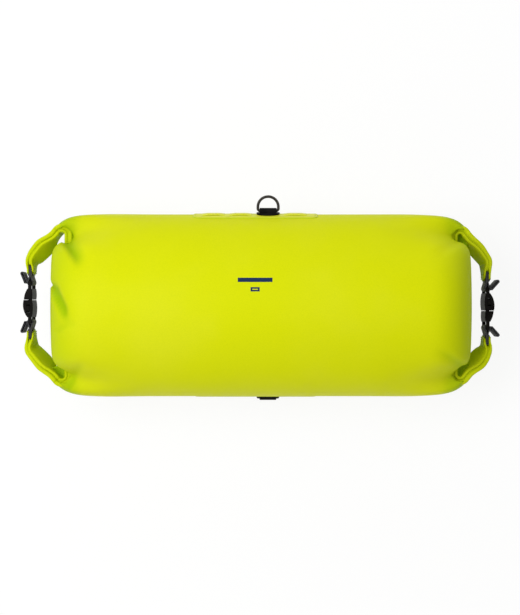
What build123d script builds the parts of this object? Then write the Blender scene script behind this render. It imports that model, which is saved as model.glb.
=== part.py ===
"""Tail bag for a motorcycle: a welded dry-bag tube with a rolled and buckled mouth at each end.

Millimetres, +Z up. The bag lies on its back: the origin is the middle of the flat underside,
X runs along the tube, +Y is the rear side and -Y the front side, each with a lash strip and a D-ring.
Each end is built in its own frame: x outward from the lobes, y along the roll, z up. The left frame
is the right one turned half round, so one function builds both ends.
"""

import os
from math import atan2, cos, degrees, radians, sin, tan

from build123d import *

os.makedirs("parts", exist_ok=True)

# Tube
body_length = 550.0  # over the lobes at both ends
body_width = 246.0
body_height = 200.0
fabric = 1.0  # coated fabric wall
plan_corner = 30.0  # corner radius seen from above

# Roll at each mouth, and the tails that leave it
band_width = 38.0  # height of the folded band
roll_thick = 12.0  # several layers of fabric
roll_middle_z = 98.0
roll_turn = 9.0  # centreline radius where the band turns back
tail_corner_y = 118.0  # where the line of the valley meets the line of the tail
tail_bend_y = 58.0
tail_end_thick = 9.0
tail_end_width = 28.0
stiffener_thick = 1.2
stiffener_width = 22.0
stiffener_reach = 80.0  # half its length

# Webbing and buckles
left_reach = 32.0  # buckle bars outward from the lobes
right_reach = 26.0
webbing_width = 25.0
webbing_thick = 1.6
buckle_offset = -4.0  # middle of the buckle along the roll
bar_offset = 26.0  # each bar from the middle of the buckle
bar_radius = 2.2
buckle_width = 34.0
rail_thick = 3.6
cavity_thick = 4.8
cavity_width = 27.0
cavity_x = 2.0  # middle of the cavity outward from the bars
tongue_width = 7.0
arm_thick = 3.0
left_loop_angle = 22.0  # pull loops lean outward from the webbing
right_loop_angle = 42.0
pull_loop_width = 20.0
pull_loop_length = 14.0

# Lash strips, D-rings and seam
strip_length = 166.0
strip_width = 40.0
strip_thick = 1.0
strip_corner = 8.0
strip_middle_x = -7.5
station_pitch = 36.5
ring_station_x = 9.5
loop_span = 30.0
loop_width = 18.0
loop_rise = 2.4  # free height under a lash loop
rear_strip_angle = 11.6  # above the horizontal, about the crown's centre
front_strip_drop = 0.6  # its upper edge below the horizontal, about the heel's centre
base_length = 31.0
base_width = 24.0
base_plate = 2.0
bridge_length = 22.6
bridge_depth = 10.0
wire_radius = 1.85
ring_inner_width = 23.6  # for 22 to 25 mm straps
ring_bar_height = 4.8  # bar's axis above the strip
ring_straight = 5.0
seam_length = 380.0
seam_width = 20.0
seam_thick = 0.8
seam_angle = -45.0

# Clearances
weld_gap = 0.2  # pieces welded or sewn to each other
run_gap = 0.3  # pieces that move past each other
bore_gap = 0.1  # D-ring bar in its bridge
mouth_gap = 0.6  # plug shoulder from the socket's mouth
ply_gap = 0.3  # between the two plies of the webbing

# Derived
half_length = body_length / 2
crown_radius = body_width / 2
heel_radius = body_height - crown_radius
heel_y = crown_radius - heel_radius
valley_half = band_width / 2 + 1.0
valley_depth = roll_thick + 2 * roll_turn - 4.0
roll_x = weld_gap + roll_thick / 2 - valley_depth
wrap_radius = bar_radius + run_gap + webbing_thick / 2
ply_x = (webbing_thick + ply_gap) / 2
front_strip_angle = -degrees(strip_width / 2 / heel_radius) - front_strip_drop


def save(piece, name):
    """Labels a finished piece and writes its STEP file."""
    piece.part.label = name
    export_step(piece.part, f"parts/{name}.step")


# ---------------------------------------------------------------- tube


def tube_envelope(inset):
    """Outer shape of the closed tube, pulled in all round by the inset."""
    with BuildPart() as envelope:
        with BuildSketch(Plane.YZ.offset(-half_length)):
            with BuildLine():
                CenterArc((0, heel_radius), crown_radius - inset, 0, 180)
                CenterArc((-heel_y, heel_radius), heel_radius - inset, 180, 90)
                Line((-heel_y, inset), (heel_y, inset))
                CenterArc((heel_y, heel_radius), heel_radius - inset, 270, 90)
            make_face()
        extrude(amount=body_length)
        with BuildSketch():
            RectangleRounded(body_length - 2 * inset, body_width - 2 * inset, plan_corner - inset)
        extrude(amount=body_height, mode=Mode.INTERSECT)
        with BuildSketch(Plane.XZ):
            with BuildLine():
                side_outline(inset)
            make_face()
        extrude(amount=body_width, both=True, mode=Mode.INTERSECT)
    return envelope.part


def side_outline(inset):
    """Side view of the tube: two lobes at each end with the flat valley of the roll between them."""
    upper_z = roll_middle_z + valley_half + valley_depth
    lower_z = roll_middle_z - valley_half - valley_depth
    upper_round = body_height - upper_z
    for side, start in ((1, 0), (-1, 180)):
        valley_x = side * (half_length - valley_depth)
        CenterArc((side * (half_length - upper_round), upper_z), upper_round - inset, start, side * 90)
        CenterArc((valley_x, upper_z), valley_depth - inset, start, side * -90)
        top, bottom = (valley_x, upper_z - valley_depth + inset), (valley_x, lower_z + valley_depth - inset)
        inner_top, inner_bottom = ((valley_x - side * inset, point[1]) for point in (top, bottom))
        if inset:
            Polyline(top, inner_top, inner_bottom, bottom)
        else:
            Line(top, bottom)
        CenterArc((valley_x, lower_z), valley_depth - inset, start, side * 90)
        CenterArc((side * (half_length - lower_z), lower_z), lower_z - inset, start, side * -90)
    Line((-half_length + upper_round, body_height - inset), (half_length - upper_round, body_height - inset))
    Line((-half_length + lower_z, inset), (half_length - lower_z, inset))


outside = tube_envelope(0)
inside = tube_envelope(fabric)
with BuildPart() as bag_tube:
    add(outside)
    add(inside, mode=Mode.SUBTRACT)
save(bag_tube, "bag_tube")


# ---------------------------------------------------------------- lash strips, rings and seam


class Flank:
    """A place on a round flank of the tube: its arc's centre and radius, and the angle on it."""

    def __init__(self, side, angle):
        on_crown = angle > 0
        self.side = side
        self.angle = angle
        self.radius = crown_radius if on_crown else heel_radius
        self.center_y = 0.0 if on_crown else side * heel_y
        self.normal = Vector(0, side * cos(radians(angle)), sin(radians(angle)))

    def axis(self):
        """Line along the tube through the arc's centre."""
        return Axis((0, self.center_y, heel_radius), (1, 0, 0))

    def plane(self, x, height):
        """Plane on the flank at a height above the fabric: x along the tube, z outward."""
        center = Vector(x, self.center_y, heel_radius)
        return Plane(center + self.normal * (self.radius + height), x_dir=(1, 0, 0), z_dir=self.normal)

    def radial_plane(self, turn):
        """Plane through the arc's centre, turned about the tube from the normal: y runs outward."""
        tangent = Vector(1, 0, 0).cross(self.normal.rotate(Axis.X, turn))
        return Plane((0, self.center_y, heel_radius), x_dir=(1, 0, 0), z_dir=tangent)


rear = Flank(1, rear_strip_angle)
front = Flank(-1, front_strip_angle)
seam_flank = Flank(1, seam_angle)
strip_top = weld_gap + strip_thick


def curved_tape(flank, x, length, width, thick, corner):
    """Flat tape with round corners, laid on the flank's curve."""
    swing = degrees(width / flank.radius)
    with BuildPart() as tape:
        with BuildSketch(flank.radial_plane(-swing)):
            with Locations((x, flank.radius + weld_gap + thick / 2)):
                Rectangle(length, thick)
        revolve(axis=flank.axis(), revolution_arc=2 * swing)
        with BuildSketch(flank.plane(x, 0)):
            RectangleRounded(length, width, corner)
        extrude(amount=width / 2, both=True, mode=Mode.INTERSECT)
    return tape


def lash_strip(flank):
    """Strip with a raised lash loop at every station but the D-ring's."""
    tape = curved_tape(flank, strip_middle_x, strip_length, strip_width, strip_thick, strip_corner)
    foot = 0.8 * strip_thick
    with BuildPart() as strip:
        add(tape.part)
        for step in (-2, -1, 1):
            station = flank.plane(ring_station_x + step * station_pitch, strip_top - foot)
            across = Plane(station.origin, x_dir=station.x_dir, z_dir=-station.y_dir)
            with BuildSketch(across):
                with BuildLine():
                    Polyline(*loop_outline(foot + loop_rise + strip_thick, loop_span), close=True)
                make_face()
                with BuildLine():
                    Polyline(*loop_outline(foot + loop_rise, loop_span - 2 * strip_thick), close=True)
                make_face(mode=Mode.SUBTRACT)
            extrude(amount=loop_width / 2, both=True)
    return strip


def loop_outline(rise, span):
    """Corners of a low arch that stands on its strip."""
    return [(-span / 2, 0), (-span / 2 + rise, rise), (span / 2 - rise, rise), (span / 2, 0)]


def ring_base(flank):
    """Moulded base: a flange that follows the strip, and a bridge bored for the ring's bar."""
    seat = strip_top + weld_gap
    bridge_top = ring_bar_height + wire_radius + bore_gap + 1.5
    with BuildPart() as base:
        with BuildSketch(flank.plane(ring_station_x, seat - base_plate)):
            SlotOverall(base_length, base_width)
        extrude(amount=2 * base_plate)
        with BuildSketch(flank.plane(ring_station_x, seat)):
            Rectangle(bridge_length, bridge_depth)
        extrude(amount=bridge_top)
        local = flank.plane(ring_station_x, seat)
        ridges = base.edges().filter_by(Axis.X)
        crest = [edge for edge in ridges if local.to_local_coords(edge.center()).Z > base_plate + 1]
        fillet(crest, bridge_depth / 2 - 0.5)
        with Locations(Plane(flank.plane(ring_station_x, seat + ring_bar_height).origin, z_dir=(1, 0, 0))):
            Cylinder(wire_radius + bore_gap, 2 * bridge_length, mode=Mode.SUBTRACT)
        middle = Plane((ring_station_x, flank.center_y, heel_radius), z_dir=(1, 0, 0))
        with Locations(middle):
            Cylinder(flank.radius + seat, 2 * base_length, mode=Mode.SUBTRACT)
    return base


def d_ring(flank, hang):
    """Wire ring on its bar; the loop points along the direction given by hang."""
    half = ring_inner_width / 2 + wire_radius
    bar_origin = flank.plane(ring_station_x, strip_top + weld_gap + ring_bar_height).origin
    ring_plane = Plane(bar_origin, x_dir=(1, 0, 0), z_dir=Vector(1, 0, 0).cross(hang))
    with BuildPart() as ring:
        with BuildLine(ring_plane) as wire:
            Line((-half + 2.5, 0), (half - 2.5, 0))
            RadiusArc((half - 2.5, 0), (half, 2.5), -2.5)
            Line((half, 2.5), (half, ring_straight))
            ThreePointArc((half, ring_straight), (0, ring_straight + half), (-half, ring_straight))
            Line((-half, ring_straight), (-half, 2.5))
            RadiusArc((-half, 2.5), (-half + 2.5, 0), -2.5)
        with BuildSketch(Plane(bar_origin, z_dir=(1, 0, 0))):
            Circle(wire_radius)
        sweep(path=wire.wires()[0])
    return ring


save(curved_tape(seam_flank, 0, seam_length, seam_width, seam_thick, 2.0), "tube_seam")
save(lash_strip(front), "front_lash_strip")
save(lash_strip(rear), "rear_lash_strip")
save(ring_base(front), "front_ring_base")
save(ring_base(rear), "rear_ring_base")
save(d_ring(front, Vector(0, 0, -1)), "front_ring")
save(d_ring(rear, rear.normal), "rear_ring")


# ---------------------------------------------------------------- rolled ends


def tail_slope(reach):
    """Angle of the tail's straight run, measured from the outward direction towards the middle."""
    return degrees(atan2(tail_corner_y - tail_bend_y, reach - roll_x))


def turn_end(reach):
    """Where the band leaves its turn, as a point, with the run's direction and outward normal."""
    slope = radians(tail_slope(reach))
    along = Vector(cos(slope), -sin(slope))
    outward = Vector(sin(slope), cos(slope))
    tangent_length = roll_turn * tan((radians(90) + slope) / 2)
    return Vector(roll_x, tail_corner_y) + along * tangent_length, along, outward, tangent_length


def roll(end_plane, reach):
    """Folded band along the valley with both turns, hollow for its stiffener."""
    straight = tail_corner_y - turn_end(reach)[3]
    turn = 90 + tail_slope(reach)
    with BuildPart() as band:
        with BuildSketch(end_plane.offset(roll_middle_z)):
            with BuildLine():
                JernArc((roll_x, -straight), (0, -1), roll_turn, turn)
                Line((roll_x, -straight), (roll_x, straight))
                JernArc((roll_x, straight), (0, 1), roll_turn, -turn)
            trace(line_width=roll_thick)
        extrude(amount=band_width / 2, both=True)
        with BuildSketch(end_plane.offset(roll_middle_z)):
            with Locations((roll_x, 0)):
                Rectangle(stiffener_thick + 2 * weld_gap, 2 * (stiffener_reach + weld_gap))
        extrude(amount=stiffener_width / 2 + weld_gap, both=True, mode=Mode.SUBTRACT)
    return band


def stiffener(end_plane):
    """Flat plastic strip inside the roll."""
    with BuildPart() as strip:
        with BuildSketch(end_plane.offset(roll_middle_z)):
            with Locations((roll_x, 0)):
                Rectangle(stiffener_thick, 2 * stiffener_reach)
        extrude(amount=stiffener_width / 2, both=True)
    return strip


def tail(side_plane, reach, bar_y):
    """Folded tail from the turn to the webbing: it thins, narrows, and forks over the webbing."""
    start, _, outward, _ = turn_end(reach)
    end_y = bar_y + 9.0
    half = tail_end_thick / 2
    mitre = half * tan(radians(90 - tail_slope(reach)) / 2)
    with BuildPart() as ear:
        with BuildSketch(side_plane.offset(side_plane_z(side_plane))):
            with BuildLine():
                Polyline(
                    start + outward * (roll_thick / 2),
                    (reach + half, tail_bend_y + mitre),
                    (reach + half, end_y),
                    (reach - half, end_y),
                    (reach - half, tail_bend_y - mitre),
                    start - outward * (roll_thick / 2),
                    close=True,
                )
            make_face()
            with Locations((reach, end_y)):
                Rectangle(2 * (ply_x + webbing_thick / 2 + run_gap), 2 * fork_depth, mode=Mode.SUBTRACT)
        extrude(amount=band_width / 2, both=True)
        bends = ear.edges().filter_by(Axis.Z).filter_by(lambda edge: near_bend(side_plane, edge, half + 1))
        fillet(bends, 12.0)
        across = Plane(side_plane.origin, x_dir=side_plane.y_dir, z_dir=side_plane.x_dir)
        middle = side_plane_z(side_plane)
        with BuildSketch(across.offset(-roll_thick * 2)):
            with BuildLine():
                Polyline(
                    (end_y - 1, middle - tail_end_width / 2),
                    (tail_bend_y, middle - band_width / 2),
                    (body_width, middle - band_width / 2),
                    (body_width, middle + band_width / 2),
                    (tail_bend_y, middle + band_width / 2),
                    (end_y - 1, middle + tail_end_width / 2),
                    close=True,
                )
            make_face()
        extrude(amount=reach + roll_thick * 4, mode=Mode.INTERSECT)
    return ear


def near_bend(side_plane, edge, reach_y):
    """True for an upright edge of a tail at its bend."""
    return abs(side_plane.to_local_coords(edge.center()).Y - tail_bend_y) < reach_y


def side_plane_z(side_plane):
    """Height of the roll's middle in a plane that may face up or down."""
    return roll_middle_z * side_plane.z_dir.Z


fork_depth = 13.4  # how far the webbing reaches into the tail's fork, with its end clearance


def webbing(side_plane, reach, bar_y):
    """Webbing whose two plies leave the tail's fork and wrap the buckle's bar."""
    in_y = bar_y + 9.0 + fork_depth - 0.4
    points = [
        (reach - ply_x, in_y),
        (reach - ply_x, bar_y + 8.5),
        (reach - wrap_radius, bar_y + 1.0),
        (reach - wrap_radius, bar_y - wrap_radius),
        (reach + wrap_radius, bar_y - wrap_radius),
        (reach + wrap_radius, bar_y + 1.0),
        (reach + ply_x, bar_y + 8.5),
        (reach + ply_x, in_y),
    ]
    wrap = wrap_radius - 0.05
    return ribbon(side_plane, points, [5, 5, wrap, wrap, 5, 5], webbing_thick, webbing_width)


def pull_loop(side_plane, reach, bar_y, angle):
    """Folded finger loop sewn on the outside of the webbing, over the bar."""
    lean = radians(angle)
    along = Vector(sin(lean), cos(lean))
    outward = Vector(cos(lean), -sin(lean))
    foot_x = reach + wrap_radius + webbing_thick
    bend = Vector(foot_x, bar_y + 1.6)
    tip = bend + along * pull_loop_length
    far_tip = tip + outward * 3.4
    points = [(foot_x, bar_y - 1.2), bend, tip, far_tip, far_tip - along * (pull_loop_length + 1)]
    return ribbon(side_plane, points, [2, 1.6, 1.6], webbing_thick, pull_loop_width)


def ribbon(side_plane, points, radii, thick, width):
    """Strap of one thickness and width along a rounded line."""
    with BuildPart() as strap:
        with BuildSketch(side_plane.offset(side_plane_z(side_plane))):
            with BuildLine():
                FilletPolyline(*points, radius=radii)
            trace(line_width=thick)
        extrude(amount=width / 2, both=True)
    return strap


# ---------------------------------------------------------------- side-release buckle


def buckle_frame(end_plane, reach):
    """Frame of a buckle: x outward from its bars, y along it towards the socket, z across it."""
    origin = end_plane.from_local_coords((reach, buckle_offset, roll_middle_z))
    return Plane(origin, x_dir=end_plane.x_dir, z_dir=end_plane.z_dir)


def across_frame(frame):
    """The same place, for profiles in the buckle's length and width that run outward."""
    return Plane(frame.origin, x_dir=frame.y_dir, z_dir=frame.x_dir)


mouth_y = -3.0
housing_end_y = 20.0
cavity_end_y = 15.5
window_y = (3.0, 14.0)
side_wall_z = buckle_width / 2


def bar_and_rails(frame, sign, rail_start):
    """Round bar between two side rails, on the socket's side (1) or the plug's side (-1)."""
    rail_end = bar_offset + bar_radius
    with BuildPart() as ladder:
        with BuildSketch(across_frame(frame)):
            rail_y = sign * (rail_start + rail_end) / 2
            rail_z = side_wall_z - rail_thick / 2
            with Locations((rail_y, rail_z), (rail_y, -rail_z)):
                Rectangle(rail_end - rail_start, rail_thick)
        extrude(amount=bar_radius, both=True)
        with BuildSketch(frame):
            with Locations((0, sign * bar_offset)):
                Circle(bar_radius)
        extrude(amount=side_wall_z - 1.0, both=True)
    return ladder


def socket(frame):
    """Female half: crowned housing with its cavity, side windows, and the webbing bar."""
    ladder = bar_and_rails(frame, 1, housing_end_y - 1.0)
    with BuildPart() as body:
        with BuildSketch(frame):
            with BuildLine():
                ThreePointArc((8.0, mouth_y), (8.6, 7.0), (3.0, housing_end_y))
                Line((3.0, housing_end_y), (-3.0, housing_end_y))
                ThreePointArc((-3.0, housing_end_y), (-4.4, 8.0), (-3.4, mouth_y))
                Line((-3.4, mouth_y), (8.0, mouth_y))
            make_face()
        extrude(amount=side_wall_z, both=True)
        with BuildSketch(frame):
            with Locations((cavity_x, (mouth_y + cavity_end_y) / 2)):
                Rectangle(cavity_thick, cavity_end_y - mouth_y)
        extrude(amount=cavity_width / 2, both=True, mode=Mode.SUBTRACT)
        with BuildSketch(frame):
            with Locations((cavity_x, sum(window_y) / 2)):
                Rectangle(cavity_thick, window_y[1] - window_y[0])
        extrude(amount=side_wall_z, both=True, mode=Mode.SUBTRACT)
        add(ladder.part)
    return body


def plug(frame):
    """Male half without its arms: shoulder, guide tongue and webbing bar."""
    shoulder_y = mouth_y - mouth_gap
    ladder = bar_and_rails(frame, -1, 17.0)
    with BuildPart() as body:
        with BuildSketch(frame):
            with BuildLine():
                ThreePointArc((7.6, shoulder_y), (6.6, -10.0), (3.0, -18.0))
                Line((3.0, -18.0), (-3.0, -18.0))
                ThreePointArc((-3.0, -18.0), (-3.8, -10.0), (-3.2, shoulder_y))
                Line((-3.2, shoulder_y), (7.6, shoulder_y))
            make_face()
        extrude(amount=side_wall_z, both=True)
        with BuildSketch(frame):
            with Locations((cavity_x, (shoulder_y - 1.0 + 12.0) / 2)):
                Rectangle(cavity_thick - 4 * run_gap, 13.0 - shoulder_y)
        extrude(amount=tongue_width / 2, both=True)
        add(ladder.part)
    return body


arm_root_y = mouth_y - mouth_gap + 0.45
arm_root_z = 11.0


def release_arm(frame, sign):
    """Spring arm of the plug with the button that stands in the socket's window."""
    inner_z = arm_root_z - arm_thick / 2
    outer_z = arm_root_z + arm_thick / 2
    button_z = side_wall_z + 0.6
    tip_y = window_y[1] - 1.1
    with BuildPart() as arm:
        with BuildSketch(across_frame(frame).offset(cavity_x)):
            with BuildLine():
                Polyline(
                    (arm_root_y, sign * inner_z),
                    (arm_root_y, sign * outer_z),
                    (window_y[0] - 0.2, sign * outer_z),
                    (window_y[0] + 2.0, sign * button_z),
                    (tip_y - 2.0, sign * button_z),
                    (tip_y, sign * (outer_z + 0.5)),
                    (tip_y, sign * (inner_z + 1.0)),
                    (window_y[0], sign * inner_z),
                    close=True,
                )
            make_face()
        extrude(amount=cavity_thick / 2 - run_gap, both=True)
    return arm


def build_end(name, end_plane, reach, loop_angle):
    """All pieces of one rolled and buckled end."""
    flipped = Plane(end_plane.origin, x_dir=end_plane.x_dir, z_dir=-end_plane.z_dir)
    frame = buckle_frame(end_plane, reach)
    save(roll(end_plane, reach), f"{name}_roll")
    save(stiffener(end_plane), f"{name}_stiffener")
    halves = (
        ("socket", end_plane, bar_offset + buckle_offset),
        ("plug", flipped, bar_offset - buckle_offset),
    )
    for half, side_plane, bar_y in halves:
        save(tail(side_plane, reach, bar_y), f"{name}_{half}_tail")
        save(webbing(side_plane, reach, bar_y), f"{name}_{half}_webbing")
        save(pull_loop(side_plane, reach, bar_y, loop_angle), f"{name}_{half}_pull_loop")
    save(socket(frame), f"{name}_socket")
    save(plug(frame), f"{name}_plug")
    save(release_arm(frame, 1), f"{name}_release_arm_upper")
    save(release_arm(frame, -1), f"{name}_release_arm_lower")


right_end = Plane((half_length, 0, 0), x_dir=(1, 0, 0), z_dir=(0, 0, 1))
left_end = Plane((-half_length, 0, 0), x_dir=(-1, 0, 0), z_dir=(0, 0, 1))
build_end("left", left_end, left_reach, left_loop_angle)
build_end("right", right_end, right_reach, right_loop_angle)
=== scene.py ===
"""Tail bag: the looks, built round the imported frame. Metres, +Z up, X along the tube, +Y the rear side."""

from math import atan2, cos, pi, radians, sin, tan

import bmesh
import bpy
import numpy as np
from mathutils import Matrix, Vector
from mathutils.bvhtree import BVHTree


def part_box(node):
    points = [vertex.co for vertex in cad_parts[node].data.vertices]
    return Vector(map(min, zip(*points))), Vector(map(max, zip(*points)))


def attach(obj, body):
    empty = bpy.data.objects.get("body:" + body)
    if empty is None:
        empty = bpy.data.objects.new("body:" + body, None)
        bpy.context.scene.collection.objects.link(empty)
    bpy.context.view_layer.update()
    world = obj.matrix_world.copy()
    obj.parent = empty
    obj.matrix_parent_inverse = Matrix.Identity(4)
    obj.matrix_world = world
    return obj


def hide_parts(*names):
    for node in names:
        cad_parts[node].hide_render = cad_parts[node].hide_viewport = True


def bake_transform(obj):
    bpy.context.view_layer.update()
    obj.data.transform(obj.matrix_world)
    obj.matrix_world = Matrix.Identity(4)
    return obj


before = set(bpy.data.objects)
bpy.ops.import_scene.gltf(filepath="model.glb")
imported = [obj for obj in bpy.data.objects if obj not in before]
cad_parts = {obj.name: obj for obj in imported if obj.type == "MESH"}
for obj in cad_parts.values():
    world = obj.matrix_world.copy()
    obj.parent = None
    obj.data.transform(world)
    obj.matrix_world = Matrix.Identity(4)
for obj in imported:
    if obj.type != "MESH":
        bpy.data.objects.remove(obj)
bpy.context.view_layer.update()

MM = 0.001

# Sizes of the tube, from its CAD node
tube_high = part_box("bag_tube")[1]
HALF_LENGTH = tube_high.x
CROWN_RADIUS = tube_high.y
HEIGHT = tube_high.z
HEEL_RADIUS = HEIGHT - CROWN_RADIUS
HEEL_Y = CROWN_RADIUS - HEEL_RADIUS
GIRTH = pi * (CROWN_RADIUS + HEEL_RADIUS) + 2 * HEEL_Y

# Roll and tails
roll_low, roll_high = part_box("right_roll")
ROLL_Z = (roll_low.z + roll_high.z) / 2
ROLL_HALF_HEIGHT = (roll_high.z - roll_low.z) / 2
ROLL_THICK = 12 * MM
ROLL_TURN = 9 * MM
ROLL_X = roll_low.x + ROLL_THICK / 2 - HALF_LENGTH
TAIL_CORNER_Y = 118 * MM
TAIL_BEND_Y = 58 * MM
TAIL_BEND_RADIUS = 14 * MM
TAIL_END_HEIGHT = 28 * MM
TAIL_END_THICK = 9 * MM
FORK_DEPTH = 13.4 * MM
FORK_HALF = 2.15 * MM
BAR_TO_TAIL = 9 * MM
BUCKLE_OFFSET = -4 * MM
BAR_OFFSET = 26 * MM


def running(steps):
    """Length run at each point of a line, from the lengths of its steps."""
    return np.concatenate([[0], np.cumsum(steps)])


def on_line(line, s, values=4):
    """The first values of a centreline at one length of it."""
    return [np.interp(s, line[:, 4], line[:, k]) for k in range(values)]


def new_object(name, data):
    """An object at the origin, in the scene."""
    made = bpy.data.objects.new(name, data)
    bpy.context.scene.collection.objects.link(made)
    return made


def flat_square(name, reach):
    """A level square at height 0."""
    mesh = bpy.data.meshes.new(name)
    corners = [(x * reach, y * reach, 0) for x, y in ((-1, -1), (1, -1), (1, 1), (-1, 1))]
    mesh.from_pydata(corners, [], [(0, 1, 2, 3)])
    return new_object(name, mesh)


class End:
    """One rolled end. Its own frame has x outward from the lobes, y along the roll and z up."""

    def __init__(self, name, sign, hoods):
        low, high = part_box(name + "_socket_webbing")
        self.name = name
        self.sign = sign
        self.reach = sign * (low.x + high.x) / 2 - HALF_LENGTH
        self.hoods = hoods
        self.slope = atan2(TAIL_CORNER_Y - TAIL_BEND_Y, self.reach - ROLL_X)
        self.turn = pi / 2 + self.slope
        self.straight = TAIL_CORNER_Y - ROLL_TURN * tan(self.turn / 2)

    def place(self, x, y, z):
        return (self.sign * (HALF_LENGTH + x), self.sign * y, z)

    def centreline(self, end_y):
        """The band's middle, from the valley's centre to its tail's end: x, y, normal x and y, length."""
        rows = [(ROLL_X, y, -1.0, 0.0) for y in np.linspace(0, self.straight, 17)]
        centre_x = ROLL_X + ROLL_TURN
        for angle in np.linspace(0, self.turn, 25)[1:]:
            away = (-cos(angle), sin(angle))
            rows.append((centre_x + ROLL_TURN * away[0], self.straight + ROLL_TURN * away[1], *away))
        away = (sin(self.slope), cos(self.slope))
        along = (cos(self.slope), -sin(self.slope))
        x, y = rows[-1][:2]
        bend = pi / 2 - self.slope
        run = (y - TAIL_BEND_Y) / sin(self.slope) - TAIL_BEND_RADIUS * tan(bend / 2)
        for step in np.linspace(0, run, 15)[1:]:
            rows.append((x + along[0] * step, y + along[1] * step, *away))
        x, y = rows[-1][:2]
        centre = (x - away[0] * TAIL_BEND_RADIUS, y - away[1] * TAIL_BEND_RADIUS)
        for angle in np.linspace(0, bend, 9)[1:]:
            away = (sin(self.slope + angle), cos(self.slope + angle))
            x, y = (c + a * TAIL_BEND_RADIUS for c, a in zip(centre, away))
            rows.append((x, y, *away))
        x, y = rows[-1][:2]
        for level in np.linspace(y, end_y, 10)[1:]:
            rows.append((x, level, 1.0, 0.0))
        rows = np.array(rows)
        return np.column_stack([rows, running(np.hypot(np.diff(rows[:, 0]), np.diff(rows[:, 1])))])

    def turn_length(self):
        """Length of the centreline from the valley's centre to the end of the turn."""
        return self.straight + ROLL_TURN * self.turn


# How far the hood of each corner reaches along the web side of the band, at local +y and -y
LEFT = End("left", -1, {1: 137 * MM, -1: 141 * MM})
RIGHT = End("right", 1, {1: 140 * MM, -1: 137 * MM})
ENDS = (LEFT, RIGHT)


def smooth(value, low, high):
    """0 below low, 1 above high, and a smooth rise between."""
    t = np.clip((value - low) / (high - low), 0, 1)
    return t * t * (3 - 2 * t)


# Finishes
# ------------------------------


class Link:
    """An output socket. Maths on it adds Math nodes to its finish."""

    def __init__(self, finish, socket):
        self.finish = finish
        self.socket = socket

    def math(self, operation, *others):
        return self.finish.node("ShaderNodeMath", {"operation": operation}, [self, *others])

    def __add__(self, other):
        return self.math("ADD", other)

    def __sub__(self, other):
        return self.math("SUBTRACT", other)

    def __mul__(self, other):
        return self.math("MULTIPLY", other)

    def __rsub__(self, other):
        return self.finish.node("ShaderNodeMath", {"operation": "SUBTRACT"}, [other, self])

    __radd__ = __add__
    __rmul__ = __mul__

    def sine(self):
        return self.math("SINE")

    def size(self):
        return self.math("ABSOLUTE")

    def above(self, low, high):
        """0 under low and 1 over high."""
        settings = {"interpolation_type": "SMOOTHSTEP"}
        values = {"Value": self, "From Min": low, "From Max": high}
        return self.finish.node("ShaderNodeMapRange", settings, values)


class Finish:
    """A material, its Principled shader, and the one method that adds a node."""

    def __init__(self, name, colour, roughness, specular=0.5):
        self.material = bpy.data.materials.new(name)
        self.material.use_nodes = True
        self.material.diffuse_color = (*colour, 1)
        self.tree = self.material.node_tree
        self.shader = self.tree.nodes["Principled BSDF"]
        self.shader.inputs["Base Color"].default_value = (*colour, 1)
        self.shader.inputs["Roughness"].default_value = roughness
        self.shader.inputs["Specular IOR Level"].default_value = specular

    def node(self, kind, settings=None, values=(), out=0):
        made = self.tree.nodes.new(kind)
        for key, value in (settings or {}).items():
            setattr(made, key, value)
        for key, value in values.items() if isinstance(values, dict) else enumerate(values):
            self.feed(made.inputs[key], value)
        return Link(self, made.outputs[out])

    def feed(self, socket, value):
        if isinstance(value, Link):
            self.tree.links.new(value.socket, socket)
        else:
            socket.default_value = value

    def set(self, **values):
        for key, value in values.items():
            self.feed(self.shader.inputs[key.replace("_", " ")], value)

    def place(self):
        return self.node("ShaderNodeTexCoord", out="Object")

    def cloth_map(self):
        return self.node("ShaderNodeUVMap", {"uv_map": "cloth"})

    def axes(self, vector):
        return [self.node("ShaderNodeSeparateXYZ", None, [vector], axis) for axis in ("X", "Y", "Z")]

    def noise(self, vector, scale, detail=2.0):
        values = {"Vector": vector, "Scale": scale, "Detail": detail, "Roughness": 0.55}
        return self.node("ShaderNodeTexNoise", None, values)

    def blend(self, share, first, second):
        """Two colours mixed by a share."""
        settings = {"data_type": "RGBA", "blend_type": "MIX", "clamp_factor": True}
        first = (*first, 1) if isinstance(first, tuple) else first
        second = (*second, 1) if isinstance(second, tuple) else second
        return self.node("ShaderNodeMix", settings, {0: share, 6: first, 7: second}, 2)

    def relief(self, height, distance, strength=1.0, under=None):
        values = {"Height": height, "Distance": distance, "Strength": strength}
        if under:
            values["Normal"] = under
        return self.node("ShaderNodeBump", None, values)


LIME = (0.655, 0.700, 0.002)
# LIME_DEEP is the painted shade of folds and hollows, and also the cloth's darker grain, the weld line and
# the thread.
LIME_DEEP = (0.33, 0.49, 0.001)
LIME_PALE = (0.69, 0.71, 0.020)
NAVY = (0.012, 0.030, 0.085)

# How strongly each finish mirrors. Low, since the white studio shows at a grazing view.
CLOTH_MIRROR = 0.03
STRIP_MIRROR = 0.18
WEBBING_MIRROR = 0.4
PLASTIC_MIRROR = 0.015

WEAVE_PITCH = 1.1 * MM
WEAVE_DEPTH = 0.06 * MM
COATING_GRAIN = 620.0

# The printed mark: its middle, then half sizes of the bar, and of the small frame and its hole below
MARK_X = -7.5 * MM
MARK_Y = 32 * MM
MARK_FLOOR = 150 * MM  # only the upper face is printed
BAR_HALF = (22.2 * MM, 2.9 * MM)
FRAME_DROP = 12 * MM
FRAME_HALF = (5.9 * MM, 2.9 * MM)
HOLE_HALF = (3.6 * MM, 0.7 * MM)


def weave(across):
    """Height of a plain weave, from two lengths over the cloth."""
    turn = 2 * pi / WEAVE_PITCH
    warp, weft = (length * turn for length in across)
    return warp.sine() * weft.sine()


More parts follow.
